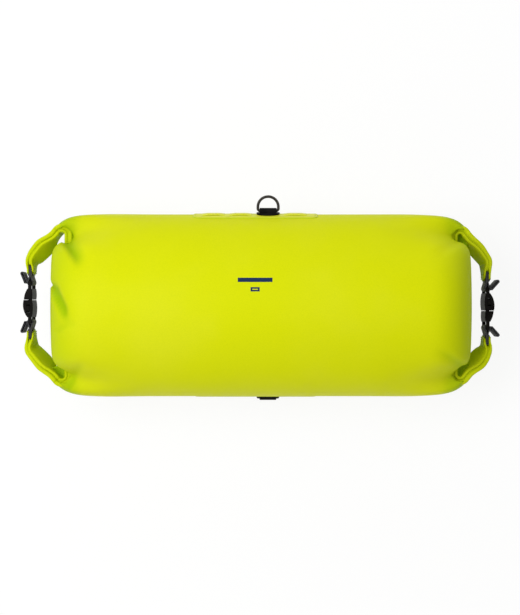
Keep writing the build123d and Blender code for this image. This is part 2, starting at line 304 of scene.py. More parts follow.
def coated_fabric(name, printed):
    """Lime coated cloth: fine weave under the coating, soft clouding, and painted shade in its folds and
    hollows, read from the fold attribute.
    """
    cloth = Finish(name, LIME, 0.44, CLOTH_MIRROR)
    place = cloth.place()
    lengths = cloth.axes(cloth.cloth_map())[:2]
    clouds = cloth.noise(place, 7.0, 3.0)
    grain = cloth.noise(place, COATING_GRAIN, 1.0)
    fold = cloth.node("ShaderNodeAttribute", {"attribute_name": "fold"}, out="Fac")
    scuffs = cloth.noise(place, 46.0, 4.0).above(0.60, 0.78)
    colour = cloth.blend(clouds.above(0.35, 0.70) * 0.45, LIME, LIME_PALE)
    # Painted shade: the fold attribute darkens the cloth in its folds, in its hollows and towards the ends.
    colour = cloth.blend(fold, colour, LIME_DEEP)
    colour = cloth.blend(scuffs * 0.10, colour, LIME_PALE)
    colour = cloth.blend(grain.above(0.30, 0.75) * 0.10, colour, LIME_DEEP)
    if printed:
        colour = cloth.blend(plain_mark(cloth, place), colour, NAVY)
    cloth.set(Base_Color=colour, Roughness=0.40 + grain * 0.08 + scuffs * 0.08)
    threads = cloth.relief(weave(lengths), WEAVE_DEPTH, 0.55)
    soft = cloth.relief(cloth.noise(place, 38.0, 3.0), 1.1 * MM, 0.22, threads)
    cloth.set(Normal=cloth.relief(grain, 0.12 * MM, 0.5, soft))
    return cloth.material


def printed_block(x, y, half, fade):
    """1 in a rectangle about the middle, fading over its edges."""
    inside_x = 1 - x.above(half[0] - fade[0], half[0])
    inside_y = 1 - y.above(half[1] - fade[1], half[1])
    return inside_x * inside_y


def plain_mark(cloth, place):
    """A plain printed bar with a small frame under it, where a bag of this kind has its print."""
    x, y, z = cloth.axes(place)
    upward = z.above(MARK_FLOOR, MARK_FLOOR + 1 * MM)
    off_x = (x - MARK_X).size()
    bar_y = (y - MARK_Y).size()
    frame_y = (y - (MARK_Y - FRAME_DROP)).size()
    bar = printed_block(off_x, bar_y, BAR_HALF, (0.4 * MM, 0.3 * MM))
    small = printed_block(off_x, frame_y, FRAME_HALF, (0.3 * MM, 0.3 * MM))
    hole = printed_block(off_x, frame_y, HOLE_HALF, (0.2 * MM, 0.2 * MM))
    return (bar + small - hole) * upward


def strip_fabric():
    """Welded strip: the same cloth a little paler, with painted shade along its rim and the line of its weld
    all round.
    """
    cloth = Finish("strip_cloth", LIME_PALE, 0.42, STRIP_MIRROR)
    place = cloth.place()
    lengths = cloth.axes(cloth.cloth_map())[:2]
    grain = cloth.noise(place, COATING_GRAIN, 1.0)
    clouds = cloth.noise(place, 24.0, 3.0)
    border = cloth.node("ShaderNodeAttribute", {"attribute_name": "border"}, out="Fac")
    line = border.above(2.2 * MM, 2.7 * MM) * (1 - border.above(3.3 * MM, 3.8 * MM))
    colour = cloth.blend(clouds.above(0.35, 0.7) * 0.5, LIME_PALE, LIME)
    colour = cloth.blend(line * 0.4, colour, LIME_DEEP)
    # Painted shade along the strip's edge, where it steps down to the cloth.
    rim = 1 - border.above(0.3 * MM, 1.3 * MM)
    colour = cloth.blend(rim * 0.75, colour, LIME_DEEP)
    cloth.set(Base_Color=colour, Roughness=0.38 + grain * 0.12)
    threads = cloth.relief(weave(lengths), WEAVE_DEPTH, 0.5)
    cloth.set(Normal=cloth.relief(line, -0.35 * MM, 1.0, threads))
    return cloth.material


def webbing_finish():
    """Black nylon webbing: ribs along the strap, crossed by its picks."""
    rib, pick = 1.9 * MM, 1.3 * MM
    strap = Finish("webbing_nylon", (0.011, 0.011, 0.014), 0.62, WEBBING_MIRROR)
    place = strap.place()
    x, y, z = strap.axes(place)
    ribs = (z * (2 * pi / rib)).sine()
    picks = ((y + x * 0.6) * (2 * pi / pick) + ribs * 1.2).sine()
    fuzz = strap.noise(place, 900.0, 2.0)
    height = ribs * 0.5 + picks * 0.5
    colour = strap.blend(height.above(-0.4, 1.0), (0.006, 0.006, 0.008), (0.030, 0.029, 0.034))
    strap.set(Base_Color=colour, Roughness=0.52 + fuzz * 0.22)
    strap.set(Normal=strap.relief(fuzz, 0.10 * MM, 0.4, strap.relief(height, 0.22 * MM, 0.8)))
    return strap.material


def moulded_plastic(name, colour, worn, roughness, grain_size):
    """Moulded plastic: spark-eroded grain, faint flow marks and rubbed patches."""
    plastic = Finish(name, colour, roughness, PLASTIC_MIRROR)
    place = plastic.place()
    grain = plastic.noise(place, 1.0 / grain_size, 2.0)
    flow = plastic.noise(place, 60.0, 2.0)
    rubbed = plastic.noise(place, 170.0, 4.0).above(0.58, 0.80)
    shade = plastic.blend(flow.above(0.3, 0.7) * 0.4, colour, worn)
    shade = plastic.blend(rubbed * 0.35, shade, worn)
    plastic.set(Base_Color=shade, Roughness=roughness - 0.05 + grain * 0.12 + rubbed * 0.08)
    plastic.set(Normal=plastic.relief(grain, 0.05 * MM, 0.6))
    return plastic.material


def thread_finish():
    """Lime sewing thread with its twist."""
    thread = Finish("stitch_thread", LIME_DEEP, 0.55)
    place = thread.place()
    twist = thread.noise(place, 1400.0, 1.0)
    colour = thread.blend(twist.above(0.3, 0.7), (0.24, 0.33, 0.003), (0.42, 0.52, 0.008))
    thread.set(Base_Color=colour, Roughness=0.45 + twist * 0.2)
    thread.set(Normal=thread.relief(twist, 0.05 * MM))
    return thread.material


TUBE_CLOTH = coated_fabric("tube_cloth", True)
TAIL_CLOTH = coated_fabric("tail_cloth", False)
STRIP_CLOTH = strip_fabric()
WEBBING = webbing_finish()
BUCKLE = moulded_plastic("buckle_acetal", (0.0045, 0.0042, 0.0042), (0.017, 0.015, 0.014), 0.36, 0.9 * MM)
BASE = moulded_plastic("base_plastic", (0.006, 0.006, 0.006), (0.020, 0.019, 0.018), 0.36, 1.2 * MM)
RING = moulded_plastic("ring_plastic", (0.040, 0.036, 0.033), (0.085, 0.080, 0.075), 0.34, 1.0 * MM)
STIFFENER = moulded_plastic("stiffener_plastic", (0.55, 0.55, 0.52), (0.68, 0.68, 0.65), 0.50, 1.4 * MM)
THREAD = thread_finish()


# Mesh helpers
# ------------------------------


def new_piece(name, points, faces, material, maps=None):
    """A mesh object at the origin, with its cloth map in metres if there is one."""
    mesh = bpy.data.meshes.new(name)
    mesh.from_pydata([tuple(map(float, p)) for p in points], [], faces)
    if maps is not None:
        layer = mesh.uv_layers.new(name="cloth")
        flat = np.array(maps, np.float32).reshape(-1)
        layer.data.foreach_set("uv", flat)
    mesh.materials.append(material)
    mesh.shade_smooth()
    return new_object(name, mesh)


def grid_faces(rows, columns, wrapped, lengths_u, lengths_v, girth=0.0):
    """Quads of a grid stored row by row, and their cloth map."""
    faces, maps = [], []
    for j in range(rows - 1):
        for i in range(columns if wrapped else columns - 1):
            k = (i + 1) % columns
            here, there = j * columns, (j + 1) * columns
            faces.append((here + i, there + i, there + k, here + k))
            left, right = lengths_v[i], lengths_v[k] if k else girth
            low, high = lengths_u[j], lengths_u[j + 1]
            maps += [(low, left), (high, left), (high, right), (low, right)]
    return faces, maps


def baked(piece):
    """The piece with its modifiers applied."""
    graph = bpy.context.evaluated_depsgraph_get()
    mesh = bpy.data.meshes.new_from_object(piece.evaluated_get(graph))
    piece.modifiers.clear()
    if piece.data.shape_keys:
        piece.shape_key_clear()
    piece.data = mesh
    mesh.shade_smooth()
    return piece


def outward(piece, welded=False):
    """Turns every face of a closed piece outward, after welding halves that meet."""
    plies = bmesh.new()
    plies.from_mesh(piece.data)
    if welded:
        bmesh.ops.remove_doubles(plies, verts=plies.verts, dist=0.01 * MM)
    bmesh.ops.recalc_face_normals(plies, faces=plies.faces)
    plies.to_mesh(piece.data)
    plies.free()
    return piece


def point_values(piece, name, values):
    """A number on each point, for the finishes to read."""
    attribute = piece.data.attributes.new(name, "FLOAT", "POINT")
    attribute.data.foreach_set("value", np.asarray(values, np.float32))


def points_of(mesh):
    points = np.zeros(len(mesh.vertices) * 3, np.float32)
    mesh.vertices.foreach_get("co", points)
    return points.reshape(-1, 3).astype(float)


# Tube of coated cloth
# ------------------------------

COLUMNS = 96
CLOTH_HALF = 366 * MM  # cloth from the middle of the tube to the mouth, over a lobe
FREE_X = 140 * MM  # cloth nearer the middle than this starts as a plain tube
STEPS = 20
CLOTH = {
    "quality": 6,
    "mass": 0.1,
    "tension_stiffness": 40,
    "compression_stiffness": 40,
    "shear_stiffness": 10,
    "bending_stiffness": 4,
    "use_pressure": True,
    "uniform_pressure_force": 2.5,
}
FABRIC_WALL = 0.9 * MM
PLAIN_TO = 95 * MM  # the middle of the tube keeps its plain section this far out
FREED_FROM = 200 * MM  # and is wholly the settled cloth from here

# Heights of a lobe's outmost line, and where the lobe has tucked in to the roll, above and below it
LOBE_BULGE = {True: 144 * MM, False: 52 * MM}
LOBE_TUCK = {True: 118 * MM, False: 78 * MM}

# Hoods over the turns of the band
HOOD_START = 85 * MM  # girth from the middle where a hood begins to be drawn along the band
HOOD_COVER = 0.55  # share of the band's thickness it passes over
HOOD_ROOM = 1.3 * MM
HOOD_CLEAR = 1.9 * MM  # over the band's edge
MOUTH_GAP = 1 * MM  # half the space between the mouth's two sides
SEAM_REACH = 30 * MM  # where the two sides close on each other


def section(lengths):
    """Points of the tube's section at signed lengths from the top's middle."""
    size, side = np.abs(lengths), np.where(lengths < 0, -1, 1)
    crown_end = CROWN_RADIUS * pi / 2
    heel_end = crown_end + HEEL_RADIUS * pi / 2
    crown = np.minimum(size, crown_end) / CROWN_RADIUS
    y, z = CROWN_RADIUS * np.sin(crown), HEEL_RADIUS + CROWN_RADIUS * np.cos(crown)
    heel = np.clip(size - crown_end, 0, HEEL_RADIUS * pi / 2) / HEEL_RADIUS
    y = np.where(size > crown_end, HEEL_Y + HEEL_RADIUS * np.cos(heel), y)
    z = np.where(size > crown_end, HEEL_RADIUS - HEEL_RADIUS * np.sin(heel), z)
    flat = np.clip(size - heel_end, 0, HEEL_Y)
    return side * np.where(size > heel_end, HEEL_Y - flat, y), np.where(size > heel_end, 0.0, z)


def lobe_profile(top):
    """Side view of a lobe from FREE_X to the roll: x, share of the height left, and length."""
    upper, rim = LOBE_TUCK[top], LOBE_BULGE[top]
    crest = HEIGHT if top else 0.0
    radius = abs(crest - rim)
    depth = abs(rim - upper)
    way = 1 if top else -1
    rows = [(x, crest) for x in np.linspace(FREE_X, HALF_LENGTH - radius, 12)]
    for a in np.linspace(0, pi / 2, 24)[1:]:
        rows.append((HALF_LENGTH - radius + radius * sin(a), rim + way * radius * cos(a)))
    for a in np.linspace(0, pi / 2, 14)[1:]:
        rows.append((HALF_LENGTH - depth + depth * cos(a), rim - way * depth * sin(a)))
    rows += [(HALF_LENGTH - depth, z) for z in np.linspace(upper, ROLL_Z, 6)[1:]]
    rows = np.array(rows)
    rows[:, 1] = (rows[:, 1] - ROLL_Z) / (crest - ROLL_Z)
    step = np.hypot(np.diff(rows[:, 0]), np.diff(rows[:, 1]) * abs(crest - ROLL_Z))
    return rows[:, 0], rows[:, 1], running(step)


def bezier(a, b, c, d, share):
    """Points of a cubic curve at shares of its run."""
    t = share[:, None]
    return (1 - t) ** 3 * a + 3 * t * (1 - t) ** 2 * b + 3 * t * t * (1 - t) * c + t**3 * d


def web_side(end):
    """The mouth's line on the web side of the band: length, x, y, normal x and y."""
    line = end.centreline(40 * MM)
    line = line[: int(np.searchsorted(line[:, 4], end.turn_length() + 45 * MM))]
    x = line[:, 0] + line[:, 2] * (ROLL_THICK / 2 + HOOD_ROOM)
    y = line[:, 1] + line[:, 3] * (ROLL_THICK / 2 + HOOD_ROOM)
    return running(np.hypot(np.diff(x), np.diff(y))), x, y, line[:, 2], line[:, 3]


def corner_share(girth_length):
    """0 where the cloth forms a lobe, 1 where it is drawn tight to a corner of the band."""
    return smooth(girth_length, 70 * MM, 132 * MM)


def hood_lift(girth_length):
    """1 where the cloth passes over the edge of the band, 0 where it meets the band's face."""
    rising = smooth(girth_length, 84 * MM, 106 * MM)
    falling = smooth(girth_length, 152 * MM, 179 * MM)
    return rising * (1 - falling)


def column(end, start, girth_length, top):
    """One lengthwise line of cloth from FREE_X to the mouth, in the end's frame."""
    side = 1 if start[1] >= 0 else -1
    quarter = GIRTH / 4
    squeeze = (end.hoods[side] - HOOD_START) / (quarter - HOOD_START)
    mouth = min(girth_length, HOOD_START) + max(girth_length - HOOD_START, 0) * squeeze
    length, xs, ys, normal_x, normal_y = web_side(end)
    lift = hood_lift(girth_length)
    inward = ROLL_THICK * HOOD_COVER * lift
    away_x, away_y = np.interp(mouth, length, normal_x), np.interp(mouth, length, normal_y)
    x = np.interp(mouth, length, xs) - inward * away_x
    y = np.interp(mouth, length, ys) - inward * away_y
    up = 1 if top else -1
    level = ROLL_Z + up * lift * (ROLL_HALF_HEIGHT + HOOD_CLEAR)
    ends = np.array([HALF_LENGTH + x, side * y, level])
    near = 1 * MM
    along_x, along_y = (
        (np.interp(mouth + near, length, line) - np.interp(mouth - near, length, line)) / (2 * near)
        for line in (xs, ys)
    )
    seam = np.clip((quarter - girth_length) / SEAM_REACH, 0, 1)
    arrive = np.array([along_x, side * along_y, -up * 0.30 * seam])
    arrive[:2] -= lift * 0.7 * np.array([away_x, side * away_y])
    arrive /= np.linalg.norm(arrive)
    ends[2] += up * MOUTH_GAP * seam
    share = np.linspace(0, 1, 80)
    taut = np.linalg.norm(ends - start)
    first_handle, last_handle = taut * 0.62, taut * 0.22
    tight = bezier(start, start + np.array([first_handle, 0, 0]), ends - arrive * last_handle, ends, share)
    across, height, run = lobe_profile(top)
    at = share * run[-1]
    full = np.column_stack([
        np.interp(at, run, across),
        start[1] + (ends[1] - start[1]) * smooth(share, 0.15, 1.0),
        ROLL_Z + (start[2] - ROLL_Z) * np.interp(at, run, height),
    ])
    full += (ends - full[-1]) * smooth(share, 0.7, 1.0)[:, None]
    share_of_corner = corner_share(girth_length)
    return full * (1 - share_of_corner) + tight * share_of_corner


def tube_start():
    """Starting shape of the cloth, and its unstretched shape as a plain round tube."""
    rows = int(round(COLUMNS * 2 * CLOTH_HALF / GIRTH / 2)) * 2 + 1
    along = np.linspace(-CLOTH_HALF, CLOTH_HALF, rows)
    girth = np.arange(COLUMNS) / COLUMNS * GIRTH
    around = np.where(girth > GIRTH / 2, girth - GIRTH, girth)
    ys, zs = section(around)
    top = np.abs(around) <= GIRTH / 4
    to_top = np.where(top, np.abs(around), GIRTH / 2 - np.abs(around))
    shape = np.zeros((rows, COLUMNS, 3))
    rest = np.zeros((rows, COLUMNS, 3))
    angle = girth / GIRTH * 2 * pi
    tube_radius = GIRTH / 2 / pi
    rest[:, :, 1] = tube_radius * np.sin(angle)
    rest[:, :, 2] = tube_radius * (1 + np.cos(angle))
    for end in ENDS:
        for i in range(COLUMNS):
            line = column(end, np.array([FREE_X, end.sign * ys[i], zs[i]]), to_top[i], top[i])
            run = running(np.linalg.norm(np.diff(line, axis=0), axis=1))
            for j in range(rows):
                out = along[j] * end.sign
                if out < 0:
                    continue
                if out <= FREE_X:
                    point, unrolled = (out, end.sign * ys[i], zs[i]), out
                else:
                    at = (out - FREE_X) / (CLOTH_HALF - FREE_X) * run[-1]
                    point, unrolled = [np.interp(at, run, line[:, k]) for k in range(3)], FREE_X + at
                shape[j, i] = (end.sign * point[0], end.sign * point[1], point[2])
                rest[j, i, 0] = end.sign * unrolled
    return rows, along, girth, to_top, shape, rest


def simulate_tube(piece, rest, pinned, filled):
    """Fills the cloth tube out against its mouths, which the rolls hold."""
    piece.shape_key_add(name="start")
    unrolled = piece.shape_key_add(name="unrolled", from_mix=False)
    unrolled.data.foreach_set("co", rest.astype(np.float32).ravel())
    unrolled.value = 0
    hold = piece.vertex_groups.new(name="hold")
    hold.add(pinned, 1.0, "REPLACE")
    fill = piece.vertex_groups.new(name="fill")
    for index, weight in enumerate(filled):
        fill.add([index], float(weight), "REPLACE")
    cloth = piece.modifiers.new("Cloth", "CLOTH")
    settings = cloth.settings
    settings.vertex_group_mass = "hold"
    for name, value in CLOTH.items():
        setattr(settings, name, value)
    settings.rest_shape_key = unrolled
    settings.vertex_group_pressure = "fill"
    settings.effector_weights.gravity = 0
    cloth.collision_settings.distance_min = 2 * MM
    ground = flat_square("ground", 1.0)
    ground.modifiers.new("Collision", "COLLISION")
    ground.collision.thickness_outer = 1 * MM
    cloth.point_cache.frame_start = 1
    cloth.point_cache.frame_end = STEPS
    for step in range(1, STEPS + 1):
        bpy.context.scene.frame_set(step)
    graph = bpy.context.evaluated_depsgraph_get()
    settled = points_of(piece.evaluated_get(graph).to_mesh())
    piece.modifiers.clear()
    piece.shape_key_clear()
    bpy.data.objects.remove(ground)
    bpy.context.scene.frame_set(1)
    return settled


def relax(points, times):
    """Softens the grid a little, and holds its first and last rows."""
    for _ in range(times):
        around = (np.roll(points, 1, 1) + np.roll(points, -1, 1)) / 2
        lengthwise = points.copy()
        lengthwise[1:-1] = (points[:-2] + points[2:]) / 2
        softer = (around + lengthwise) / 2
        points = np.concatenate([points[:1], points[1:-1] * 0.5 + softer[1:-1] * 0.5, points[-1:]])
    return points


# Folds pressed into the top of the cloth near its ends, in millimetres: their line, depth, reach and how
# much painted shade they get. The cloth on the right of each line lies lower.
FOLDS = (
    (((-233, 44), (-241, 60.5), (-253, 77.5), (-262, 86)), 7.0, 26, 0.85),
    (((-249, -24), (-258, -4), (-270, 17)), 6.0, 17, 1.30),
    (((-232, -30), (-244, -27), (-256, -34)), 1.6, 15, 0.15),
    (((222, -52), (246, -66), (268, -80)), 2.6, 16, 0.30),
    (((214, 62), (238, 78), (256, 92)), 2.4, 16, -0.05),
    (((-222, -74), (-240, -92), (-250, -108)), 2.2, 14, 0.22),
)


FOLD_EDGE = 4 * MM
SHADE_EDGE = 3.5 * MM


def pressed_folds(surface, points):
    """Points with the folds pressed in, and the painted shade each point gets."""
    normals = np.zeros(len(surface.vertices) * 3, np.float32)
    surface.vertices.foreach_get("normal", normals)
    normals = normals.reshape(-1, 3).astype(float)
    upper = smooth(points[:, 2], ROLL_Z + 6 * MM, ROLL_Z + 26 * MM)
    drop, shade = np.zeros(len(points)), np.zeros(len(points))
    for path, depth, reach, dark in FOLDS:
        corners = np.array(path) * MM
        steps = np.diff(corners, axis=0)
        spans = np.hypot(steps[:, 0], steps[:, 1])
        run = running(spans)
        nearest = np.full(len(points), 1.0)
        signed, along = np.zeros(len(points)), np.zeros(len(points))
        for corner, step, span, before in zip(corners, steps, spans, run):
            way = step / span
            offset = points[:, :2] - corner
            t = np.clip(offset @ way, 0, span)
            gap = np.hypot(*(offset - t[:, None] * way).T)
            right = offset[:, 0] * way[1] - offset[:, 1] * way[0]
            closer = gap < nearest
            nearest = np.where(closer, gap, nearest)
            signed = np.where(closer, np.where(right >= 0, gap, -gap), signed)
            along = np.where(closer, before + t, along)
        grown = smooth(along / run[-1], -0.05, 0.50)
        low_side = smooth(signed, -FOLD_EDGE, FOLD_EDGE) * (1 - smooth(signed, 3 * MM, reach * MM))
        drop += depth * MM * grown * low_side * upper
        # Painted shade on the lower side of each fold.
        edge = smooth(signed, -SHADE_EDGE, SHADE_EDGE) * (1 - smooth(signed, 2 * MM, 0.8 * reach * MM))
        shade += dark * grown * edge * upper
    return points - normals * drop[:, None], shade


def make_tube():
    """The cloth tube, filled and settled on its plain middle. Returns its skin, for what is welded on it."""
    rows, along, girth, to_top, shape, rest = tube_start()
    faces, maps = grid_faces(rows, COLUMNS, True, along, girth, GIRTH)
    piece = new_piece("tube_cloth_body", shape.reshape(-1, 3), faces, TUBE_CLOTH, maps)
    settled = shape
    last = (rows - 1) * COLUMNS
    pinned = list(range(COLUMNS)) + list(range(last, last + COLUMNS))
    out = smooth(np.abs(shape[:, :, 0]), 250 * MM, 272 * MM)
    filled = 1 - out * corner_share(to_top)[None, :]
    settled = simulate_tube(piece, rest, pinned, filled.ravel()).reshape(rows, COLUMNS, 3)
    settled = relax(settled, 3)
    ys, zs = section(np.where(girth > GIRTH / 2, girth - GIRTH, girth))
    plain = np.zeros_like(settled)
    plain[:, :, 0] = along[:, None]
    plain[:, :, 1] = ys[None, :]
    plain[:, :, 2] = zs[None, :]
    freed = smooth(np.abs(along), PLAIN_TO, FREED_FROM)[:, None, None]
    settled = plain * (1 - freed) + settled * freed
    piece.data.vertices.foreach_set("co", settled.astype(np.float32).ravel())
    finer = piece.modifiers.new("Finer", "SUBSURF")
    finer.levels = finer.render_levels = 1
    baked(piece)
    surface = piece.data
    skin = BVHTree.FromPolygons([v.co for v in surface.vertices], [p.vertices[:] for p in surface.polygons])
    points = points_of(surface)
    points, shade = pressed_folds(surface, points)
    surface.vertices.foreach_set("co", points.astype(np.float32).ravel())
    surface.update()
    # Painted shade: darker towards both ends, in the valley by the roll and along the pressed folds.
    ends = smooth(np.abs(points[:, 0]), 212 * MM, 285 * MM)
    valley = smooth(-np.abs(points[:, 2] - ROLL_Z), -45 * MM, -5 * MM)
    valley = valley * smooth(np.abs(points[:, 0]), 235 * MM, 250 * MM)
    point_values(piece, "fold", np.clip(0.55 * ends + 0.5 * valley + shade, 0, 1))
    wall = piece.modifiers.new("Wall", "SOLIDIFY")
    wall.thickness = FABRIC_WALL
    wall.offset = -1
    baked(piece)
    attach(piece, "bag")
    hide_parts("bag_tube")
    return skin


# Folded bands
# ------------------------------

PLIES = (  # each fold's middle, half thickness and top, as shares of the band
    (0.42, 0.53, 1.00),
    (-0.10, 0.20, 0.84),
    (-0.60, 0.36, 0.93),
)
THINNEST_PLY = 1.1 * MM  # half thickness beside the webbing
RIPPLE = 0.5 * MM  # how far the plies wander in the tails
TACKED = 9 * MM  # the tail's last stretch, where its corners are drawn back
TINY = 1e-6


def capsule(half_thick, half_height, sides=5, rounds=6):
    """Outline of a flat fold: straight faces and round edges."""
    straight = half_height - half_thick
    points = []
    for way, start in ((1, 0), (-1, pi)):
        points += [(way * half_thick, way * z) for z in np.linspace(-straight, straight, sides)[:-1]]
        for a in np.linspace(start, start + pi, rounds)[:-1]:
            points.append((half_thick * cos(a), way * straight + half_thick * sin(a)))
    return points


def band(end, side, first, last, end_y, name, lean_angle):
    """Folded plies of the band on one side of the valley's centre, between two lengths of its centreline."""
    line = end.centreline(end_y)
    tail_start = end.turn_length()
    total = line[-1, 4]
    to_tip = last >= total - TINY
    lengths = line[(line[:, 4] >= first - TINY / 1000) & (line[:, 4] <= last + TINY / 1000), 4]
    if lengths[0] > first + TINY:
        lengths = np.concatenate([[first], lengths])
    if lengths[-1] < last - TINY:
        lengths = np.concatenate([lengths, [last]])
    points, faces, maps = [], [], []
    for order, (middle, thick_share, top_share) in enumerate(PLIES):
        stops = lengths
        if order == 1 and to_tip:
            stops = lengths[lengths <= total - FORK_DEPTH - 1 * MM]
        start_index = len(points)
        for s in stops:
            x, y, nx, ny = on_line(line, s)
            size = np.hypot(nx, ny)
            nx, ny = nx / size, ny / size
            tail = smooth(s, tail_start + 10 * MM, total)
            narrow = smooth(s, tail_start + 18 * MM, total - 4 * MM)
            half_thick = ROLL_THICK / 2 * (1 - tail) + TAIL_END_THICK / 2 * tail
            half_height = (ROLL_HALF_HEIGHT * (1 - narrow) + TAIL_END_HEIGHT / 2 * narrow) * top_share
            fork = smooth(s, total - 24 * MM, total - FORK_DEPTH + 2 * MM)
            offset, ply_half = middle * half_thick, thick_share * half_thick
            if order != 1:
                way = 1 if order == 0 else -1
                fork_half = max((half_thick - FORK_HALF) / 2, THINNEST_PLY)
                ply_half += (fork_half - ply_half) * fork
                offset += (way * (FORK_HALF + fork_half) - offset) * fork
            ripple = RIPPLE * sin(s * 95 + order * 2.1 + end.sign)
            ripple *= smooth(s, tail_start - 20 * MM, tail_start + 20 * MM)
            offset += ripple * (1 - fork) * 0.6
            wave = 1 + 0.03 * sin(side * s * 70 + order * 1.7)
            leaned = smooth(s, tail_start + 6 * MM, tail_start + 32 * MM)
            lean = lean_angle * leaned * (1 - smooth(s, total - 30 * MM, total - 8 * MM))
            for u, z in capsule(ply_half, half_height * wave):
                across = (offset + u) * cos(lean) + z * sin(lean)
                up = z * cos(lean) - (offset + u) * sin(lean)
                back = 0.0
                if to_tip:
                    back = smooth(s, total - TACKED, total) * abs(z) * (0.35 if order == 0 else 0.55)
                points.append(end.place(x + nx * across, side * (y + ny * across + back), ROLL_Z + up))
        outline = capsule(ply_half, half_height)
        count, rows = len(outline), len(stops)
        loop = [0.0]
        for a, b in zip(outline, outline[1:] + outline[:1]):
            loop.append(loop[-1] + float(np.hypot(b[0] - a[0], b[1] - a[1])))
        quads, quad_maps = grid_faces(rows, count, True, stops, loop[:-1], loop[-1])
        faces += [tuple(start_index + v for v in quad) for quad in quads]
        maps += quad_maps
        for row in (0, rows - 1) if first > 0 else (rows - 1,):
            faces.append(tuple(start_index + row * count + i for i in range(count)))
            maps += outline
    piece = new_piece(name, points, faces, TAIL_CLOTH, maps)
    return outward(piece) if first > 0 else piece


def set_fold_shade(piece, amount):
    """Painted shade over the whole piece, with less of it along its top, where the light falls."""
    points = points_of(piece.data)
    top = smooth(points[:, 2], ROLL_Z - 5 * MM, ROLL_Z + 18 * MM)
    point_values(piece, "fold", amount - 0.25 * top)


def joined(name, pieces):
    """Several meshes as one object, with their materials."""
    bpy.ops.object.select_all(action="DESELECT")
    for piece in pieces:
        piece.select_set(True)
    bpy.context.view_layer.objects.active = pieces[0]
    bpy.ops.object.join()
    pieces[0].name = name
    pieces[0].data.name = name
    return pieces[0]


GUSSET_REACH = 18 * MM
GUSSET_INSET = 0.35  # share of the roll's thickness that it enters the band


def gusset(end, side):
    """Cloth gathered inside one turn of the roll: a lens that closes the pocket between band and tail, in
    full painted shade.
    """
    turn = end.turn_length()
    line = end.centreline(40 * MM)
    inner = []
    for s in np.linspace(end.straight - GUSSET_REACH, turn + GUSSET_REACH, 25):
        x, y, nx, ny = on_line(line, s)
        inner.append((x - nx * ROLL_THICK * GUSSET_INSET, y - ny * ROLL_THICK * GUSSET_INSET))
    inner = np.array(inner)
    middle = inner.mean(axis=0)
    shares = (1.0, 0.8, 0.5, 0.2)
    points, faces = [], []
    for way in (1, -1):
        for share in shares:
            level = 1 * MM + 5 * MM * share**2
            for point in inner:
                x, y = middle + (point - middle) * share
                points.append(end.place(x, side * y, ROLL_Z + way * level))
    count = len(inner)
    rings = [[k * count + i for i in range(count)] for k in range(2 * len(shares))]
    top, bottom = rings[: len(shares)], rings[len(shares):]
    joints = list(zip(top, top[1:])) + list(zip(bottom, bottom[1:])) + [(bottom[0], top[0])]
    for a, b in joints:
        faces += [(a[i], a[(i + 1) % count], b[(i + 1) % count], b[i]) for i in range(count)]
    faces += [tuple(top[-1]), tuple(bottom[-1])]
    maps = [(points[v][0], points[v][1]) for f in faces for v in f]
    piece = outward(new_piece(f"{end.name}_{side}_gusset", points, faces, TAIL_CLOTH, maps))
    # Painted shade: the pocket's lens is at full fold shade.
    point_values(piece, "fold", [1.0] * len(points))
    return piece


# Degrees that each tail leans, at local +y and -y
LEANS = {("left", 1): 20, ("left", -1): 26, ("right", 1): 14, ("right", -1): 26}
UNGATHERED = ("left", -1)  # the turn that stands open
# Painted shade of the folded cloth in the rolls and in the tails.
ROLL_SHADE, TAIL_SHADE = 0.6, 0.55  # how deep the colour of the folded cloth is
BLEND_START = 12 * MM  # a point is taken on a plug's tail at least this far past the turn
BLEND_END = 12 * MM  # and another this far from the tail's end


def make_bands():
    """Both rolls and their four tails. The tails on the sockets' side go with the bag; those on the plugs'
    side are left unattached.
    """
    for end in ENDS:
        halves = []
        turn = end.turn_length()
        for half, side in (("socket", 1), ("plug", -1)):
            bar_y = BAR_OFFSET + side * BUCKLE_OFFSET
            end_y = bar_y + BAR_TO_TAIL
            lean = radians(LEANS[end.name, side])
            total = end.centreline(end_y)[-1, 4]
            halves.append(band(end, side, 0.0, turn, end_y, f"{end.name}_{half}_half_roll", lean))
            tail = band(end, side, turn, total, end_y, f"{end.name}_{half}_tail_plies", lean)
            set_fold_shade(tail, TAIL_SHADE)
            stitches = tail_stitches(end, side, end_y)
            tail = joined(f"{end.name}_{half}_tail_plies", [tail, stitches])
            if half == "plug":
                line = end.centreline(end_y)
                start_at = max(turn + BLEND_START, end.hoods[side])
                x, y = on_line(line, start_at, 2)
                first = end.place(x, side * y, ROLL_Z)
                last = end.place(x, side * (end_y + BLEND_END), ROLL_Z)
                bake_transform(tail)
            else:
                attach(tail, "bag")
            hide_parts(f"{end.name}_{half}_tail")
        roll = outward(joined(f"{end.name}_roll_plies", halves), welded=True)
        set_fold_shade(roll, ROLL_SHADE)
        gathers = [gusset(end, side) for side in (1, -1) if (end.name, side) != UNGATHERED]
        roll = joined(f"{end.name}_roll_plies", [roll] + gathers)
        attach(roll, "bag")
        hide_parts(f"{end.name}_roll")


# Stitches
# ------------------------------


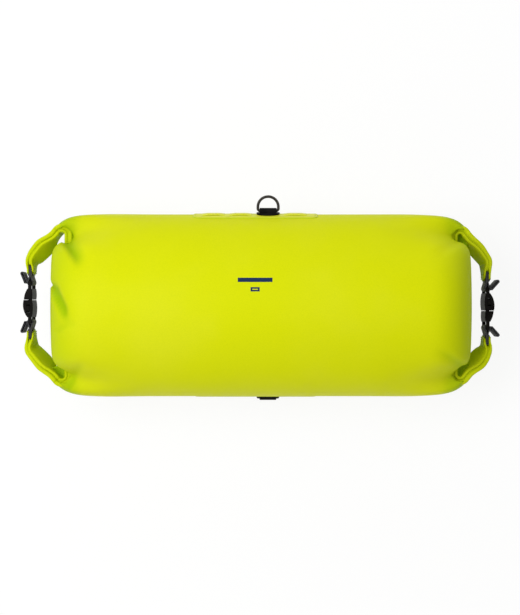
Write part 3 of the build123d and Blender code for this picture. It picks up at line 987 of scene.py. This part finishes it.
def stitch_tree():
    """Geometry Nodes: a line of thread stitches along each edge of a wire mesh."""
    tree = bpy.data.node_groups.new("thread_stitches", "GeometryNodeTree")
    face = tree.interface
    face.new_socket("Line", in_out="INPUT", socket_type="NodeSocketGeometry")
    for name in ("Pitch", "Stitch length", "Thread radius"):
        face.new_socket(name, in_out="INPUT", socket_type="NodeSocketFloat")
    face.new_socket("Thread", in_out="INPUT", socket_type="NodeSocketMaterial")
    face.new_socket("Stitches", in_out="OUTPUT", socket_type="NodeSocketGeometry")

    def add(kind, **settings):
        made = tree.nodes.new(kind)
        for key, value in settings.items():
            setattr(made, key, value)
        return made

    inputs, outputs = add("NodeGroupInput"), add("NodeGroupOutput")
    curve = add("GeometryNodeMeshToCurve")
    spaced = add("GeometryNodeResampleCurve", mode="LENGTH")
    stitch = add("GeometryNodeMeshIcoSphere")
    stitch.inputs["Subdivisions"].default_value = 2
    stitch.inputs["Radius"].default_value = 1.0
    tangent = add("GeometryNodeInputTangent")
    turned = add("FunctionNodeAlignRotationToVector", axis="Z")
    half = add("ShaderNodeMath", operation="MULTIPLY")
    half.inputs[1].default_value = 0.5
    scale = add("ShaderNodeCombineXYZ")
    placed = add("GeometryNodeInstanceOnPoints")
    real = add("GeometryNodeRealizeInstances")
    finish = add("GeometryNodeSetMaterial")
    for source, out, target, into in (
        (inputs, "Line", curve, "Mesh"),
        (curve, "Curve", spaced, "Curve"),
        (inputs, "Pitch", spaced, "Length"),
        (spaced, "Curve", placed, "Points"),
        (stitch, "Mesh", placed, "Instance"),
        (tangent, "Tangent", turned, "Vector"),
        (turned, "Rotation", placed, "Rotation"),
        (inputs, "Thread radius", scale, "X"),
        (inputs, "Thread radius", scale, "Y"),
        (inputs, "Stitch length", half, 0),
        (half, 0, scale, "Z"),
        (scale, 0, placed, "Scale"),
        (placed, "Instances", real, "Geometry"),
        (real, "Geometry", finish, "Geometry"),
        (inputs, "Thread", finish, "Material"),
        (finish, "Geometry", outputs, "Stitches"),
    ):
        tree.links.new(source.outputs[out], target.inputs[into])
    return tree


STITCH_TREE = stitch_tree()


STITCH_PITCH = 2.6 * MM
STITCH_LENGTH = 2.1 * MM
THREAD_RADIUS = 0.42 * MM
TACK_YS = (4 * MM, 10 * MM)  # two rows of the box of stitches, from the tail's end
TACK_EDGE = 4 * MM


def stitched(name, runs):
    """Plain mesh of thread stitches along several runs of points."""
    points, edges = [], []
    for run in runs:
        first = len(points)
        points += [tuple(map(float, p)) for p in run]
        edges += [(first + k, first + k + 1) for k in range(len(run) - 1)]
    mesh = bpy.data.meshes.new(name)
    mesh.from_pydata(points, edges, [])
    piece = new_object(name, mesh)
    sewing = piece.modifiers.new("Stitches", "NODES")
    sewing.node_group = STITCH_TREE
    values = {"Pitch": STITCH_PITCH, "Stitch length": STITCH_LENGTH, "Thread radius": THREAD_RADIUS}
    values["Thread"] = THREAD
    for item in STITCH_TREE.interface.items_tree:
        if item.in_out == "INPUT" and item.name in values:
            sewing[item.identifier] = values[item.name]
    return baked(piece)


def tail_stitches(end, side, end_y):
    """Bar tacks through the tail's plies, over the webbing inside them."""
    runs = []
    half = TAIL_END_HEIGHT / 2 - TACK_EDGE
    for face in (1, -1):
        x = end.reach + face * (TAIL_END_THICK / 2 + 0.15 * MM)
        for y in TACK_YS:
            runs.append([end.place(x, side * (end_y + y), ROLL_Z + z) for z in (-half, half)])
        for z in (-half, half):
            runs.append([end.place(x, side * (end_y + y), ROLL_Z + z) for y in TACK_YS])
    return stitched(f"{end.name}_{side}_stitches", runs)


# Strips and seam
# ------------------------------

STRIP_X = -7.5 * MM
STRIP_LENGTH = 166 * MM
STRIP_WIDTH = 40 * MM
STRIP_CORNER = 8 * MM
STRIP_THICK = 1.2 * MM
STRIP_GRID = 1.6 * MM
RING_X = 9.5 * MM
REAR_ANGLE = radians(11.6)
FRONT_ANGLE = radians(-15.48)

# Raised loops beside the ring
LOOP_STEPS = (-2, -1, 1)
LOOP_PITCH = 36.5 * MM
LOOP_SPAN = 30 * MM
LOOP_WIDTH = 18 * MM
LOOP_RISE = 1.0 * MM
LOOP_THICK = 0.7 * MM
LOOP_LIFT = 0.9 * MM
LOOP_SHOULDER = 9 * MM

SEAM_LENGTH = 380 * MM
SEAM_WIDTH = 20 * MM
SEAM_CORNER = 2 * MM
SEAM_THICK = 0.8 * MM
SEAM_GRID = 2.5 * MM
SEAM_ANGLE = radians(-45)

TAPE_SUNK = 0.3 * MM  # the underside of a tape lies this far in the cloth
TAPE_BEVEL = 1.4 * MM
SIGHT = 60 * MM  # how far outside the cloth it is looked for


class Flank:
    """A round side of the tube, where points are laid on the cloth by arc length and height."""

    def __init__(self, skin, side, angle):
        self.skin = skin
        self.side = side
        self.angle = angle
        on_crown = angle > 0
        self.radius = CROWN_RADIUS if on_crown else HEEL_RADIUS
        self.centre_y = 0.0 if on_crown else side * HEEL_Y

    def at(self, x, arc, height):
        angle = self.angle + arc / self.radius
        out = Vector((0, self.side * cos(angle), sin(angle)))
        middle = Vector((x, self.centre_y, HEEL_RADIUS))
        hit = self.skin.ray_cast(middle + out * (self.radius + SIGHT), -out, 1.5 * SIGHT)
        base = hit[0] if hit[0] is not None else middle + out * self.radius
        return base + out * height


def closed_sheet(rows, columns, lengths_u, lengths_v):
    """Faces and cloth map of a closed sheet: its upper points row by row, then its lower ones."""
    upper, maps = grid_faces(rows, columns, False, lengths_u, lengths_v)
    count = rows * columns
    lower = [tuple(v + count for v in face) for face in upper]
    rim = [j * columns for j in range(rows)]
    rim += [(rows - 1) * columns + i for i in range(1, columns)]
    rim += [j * columns + columns - 1 for j in range(rows - 2, -1, -1)]
    rim += list(range(columns - 2, 0, -1))
    walls = [(a, b, b + count, a + count) for a, b in zip(rim, rim[1:] + rim[:1])]
    return upper + lower + walls, maps + maps + [(0, 0)] * (4 * len(walls))


def taped(flank, name, middle_x, length, width, corner, thick, step, material):
    """Flat tape with round corners on the cloth, closed underneath."""
    xs = np.linspace(-length / 2, length / 2, int(length / step) + 1)
    shares = np.linspace(-1, 1, int(width / step) + 1)
    border = []
    points, under = [], []
    for x in xs:
        over = max(0.0, abs(x) - (length / 2 - corner))
        half = width / 2 - corner + (max(corner**2 - over**2, 0)) ** 0.5
        for share in shares:
            v = share * half
            edge = min(half - abs(v), length / 2 - abs(x))
            border.append(edge)
            rise = thick * (0.35 + 0.65 * float(smooth(edge, 0, TAPE_BEVEL)))
            points.append(flank.at(middle_x + x, v, rise))
            under.append(flank.at(middle_x + x, v, -TAPE_SUNK))
    faces, maps = closed_sheet(len(xs), len(shares), xs, shares * width / 2)
    piece = outward(new_piece(name, points + under, faces, material, maps))
    point_values(piece, "border", border + [0.0] * len(under))
    return piece


def arch(flank, middle_x):
    """Raised loop of cloth over the strip: its points and faces."""
    steps, across = 22, 7
    points = []
    for level in (1, 0):
        for x in np.linspace(-LOOP_SPAN / 2, LOOP_SPAN / 2, steps):
            rounded = float(smooth(LOOP_SPAN / 2 - abs(x), 0, LOOP_SHOULDER))
            for v in np.linspace(-LOOP_WIDTH / 2, LOOP_WIDTH / 2, across):
                sag = 0.25 * LOOP_RISE * (2 * v / LOOP_WIDTH) ** 2 * rounded
                height = LOOP_LIFT + (LOOP_RISE - sag) * rounded + LOOP_THICK * level
                points.append(flank.at(middle_x + x, v, height))
    return points, closed_sheet(steps, across, np.arange(steps), np.arange(across))[0]


def make_strip(flank, name):
    """Lash strip with its raised loops."""
    sizes = (STRIP_X, STRIP_LENGTH, STRIP_WIDTH, STRIP_CORNER, STRIP_THICK, STRIP_GRID)
    strip = taped(flank, f"{name}_strip_tape", *sizes, STRIP_CLOTH)
    points, faces = [], []
    for step in LOOP_STEPS:
        more, quads = arch(flank, RING_X + step * LOOP_PITCH)
        faces += [tuple(v + len(points) for v in q) for q in quads]
        points += more
    maps = [(points[v][0], points[v][2]) for f in faces for v in f]
    loops = outward(new_piece(f"{name}_strip_loops", points, faces, STRIP_CLOTH, maps))
    point_values(loops, "border", [8 * MM] * len(points))
    strip = joined(f"{name}_strip_with_loops", [strip, loops])
    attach(strip, "bag")
    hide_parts(f"{name}_lash_strip")


def make_strips(skin):
    """Both lash strips and the long seam, on the cloth."""
    make_strip(Flank(skin, 1, REAR_ANGLE), "rear")
    make_strip(Flank(skin, -1, FRONT_ANGLE), "front")
    sizes = (0, SEAM_LENGTH, SEAM_WIDTH, SEAM_CORNER, SEAM_THICK, SEAM_GRID)
    seam = taped(Flank(skin, 1, SEAM_ANGLE), "tube_seam_tape", *sizes, STRIP_CLOTH)
    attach(seam, "bag")
    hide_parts("tube_seam")


# Finishes of the CAD nodes
# ------------------------------


def dress(node, material):
    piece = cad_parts[node]
    piece.data.materials.clear()
    piece.data.materials.append(material)


def dress_nodes():
    """The finish of each CAD node that shows as it is."""
    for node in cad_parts:
        if node.endswith(("webbing", "pull_loop")):
            dress(node, WEBBING)
        elif node.endswith(("socket", "plug")) or "release_arm" in node:
            dress(node, BUCKLE)
        elif node.endswith("ring_base"):
            dress(node, BASE)
        elif node.endswith("_ring"):
            dress(node, RING)
        elif node.endswith("stiffener"):
            dress(node, STIFFENER)


# Floor, light and camera
# ------------------------------


PAPER = (0.86, 0.86, 0.85)
PAPER_GREY = (0.84, 0.84, 0.83)
FLOOR_REACH = 12.0
FLOOR_GLOW = 1.02
FLOOR_SHARE = 0.86  # share of the glow where the floor is seen, which leaves it the shadow
AMBIENT = 0.42  # strength of the light from all round


def white_rays(finish):
    """1 on rays that show the background: seen, mirrored or through glass."""
    kinds = ("Is Camera Ray", "Is Glossy Ray", "Is Transmission Ray")
    seen, mirrored, through = (finish.node("ShaderNodeLightPath", out=kind) for kind in kinds)
    return (seen + mirrored + through).math("MINIMUM", 1.0)


def make_floor():
    """Plain paper that fades into the white background and keeps the shadow."""
    floor = flat_square("floor", FLOOR_REACH)
    paper = Finish("floor_paper", PAPER, 0.9, 0.0)
    grain = paper.noise(paper.place(), 300.0)
    paper.set(Base_Color=paper.blend(grain.above(0.4, 0.6) * 0.3, PAPER, PAPER_GREY))
    glow = paper.node("ShaderNodeEmission", None, {"Color": (1, 1, 1, 1), "Strength": FLOOR_GLOW})
    own = Link(paper, paper.shader.outputs[0])
    mixed = paper.node("ShaderNodeMixShader", None, [white_rays(paper) * FLOOR_SHARE, own, glow])
    paper.feed(paper.tree.nodes["Material Output"].inputs["Surface"], mixed)
    floor.data.materials.append(paper.material)


class Surroundings(Finish):
    """The world, with the same way of adding nodes."""

    def __init__(self, world):
        world.use_nodes = True
        self.tree = world.node_tree


def make_world():
    """White where it is seen, and an even soft light elsewhere."""
    world = bpy.data.worlds.new("studio")
    bpy.context.scene.world = world
    sky = Surroundings(world)
    back = world.node_tree.nodes["Background"]
    sky.feed(back.inputs["Color"], (1, 1, 1, 1))
    sky.feed(back.inputs["Strength"], white_rays(sky) * (1.0 - AMBIENT) + AMBIENT)


SOFT_BOXES = (  # name, place, size and power
    ("key_box", (-0.85, 0.20, 1.7), (1.3, 1.0), 22),
    ("front_box", (-0.2, -1.6, 1.1), (1.6, 0.9), 6),
    ("rear_box", (0.2, 1.7, 0.9), (1.6, 0.8), 7),
)
LIT_POINT = (0, 0, 0.1)


def make_lights():
    for name, place, size, power in SOFT_BOXES:
        lamp = bpy.data.lights.new(name, "AREA")
        lamp.shape = "RECTANGLE"
        lamp.size, lamp.size_y = size
        lamp.energy = power
        holder = new_object(name, lamp)
        holder.location = place
        holder.rotation_euler = (Vector(LIT_POINT) - Vector(place)).to_track_quat("-Z", "Y").to_euler()


CENTRED = (-1.35 * MM, -2.97 * MM)  # what stands in the middle of the view


def make_camera():
    """Straight down on the bag, rear side up in the frame."""
    lens = 76.0
    shown_height = 0.830
    level = 85 * MM
    data = bpy.data.cameras.new("camera")
    data.sensor_width = 36.0
    data.lens = lens
    camera = new_object("camera", data)
    camera.location = (*CENTRED, level + shown_height * lens / data.sensor_width)
    bpy.context.scene.camera = camera


make_camera()
make_world()
make_lights()
make_floor()
dress_nodes()
make_strips(make_tube())
make_bands()

bpy.context.scene.view_settings.view_transform = "Standard"
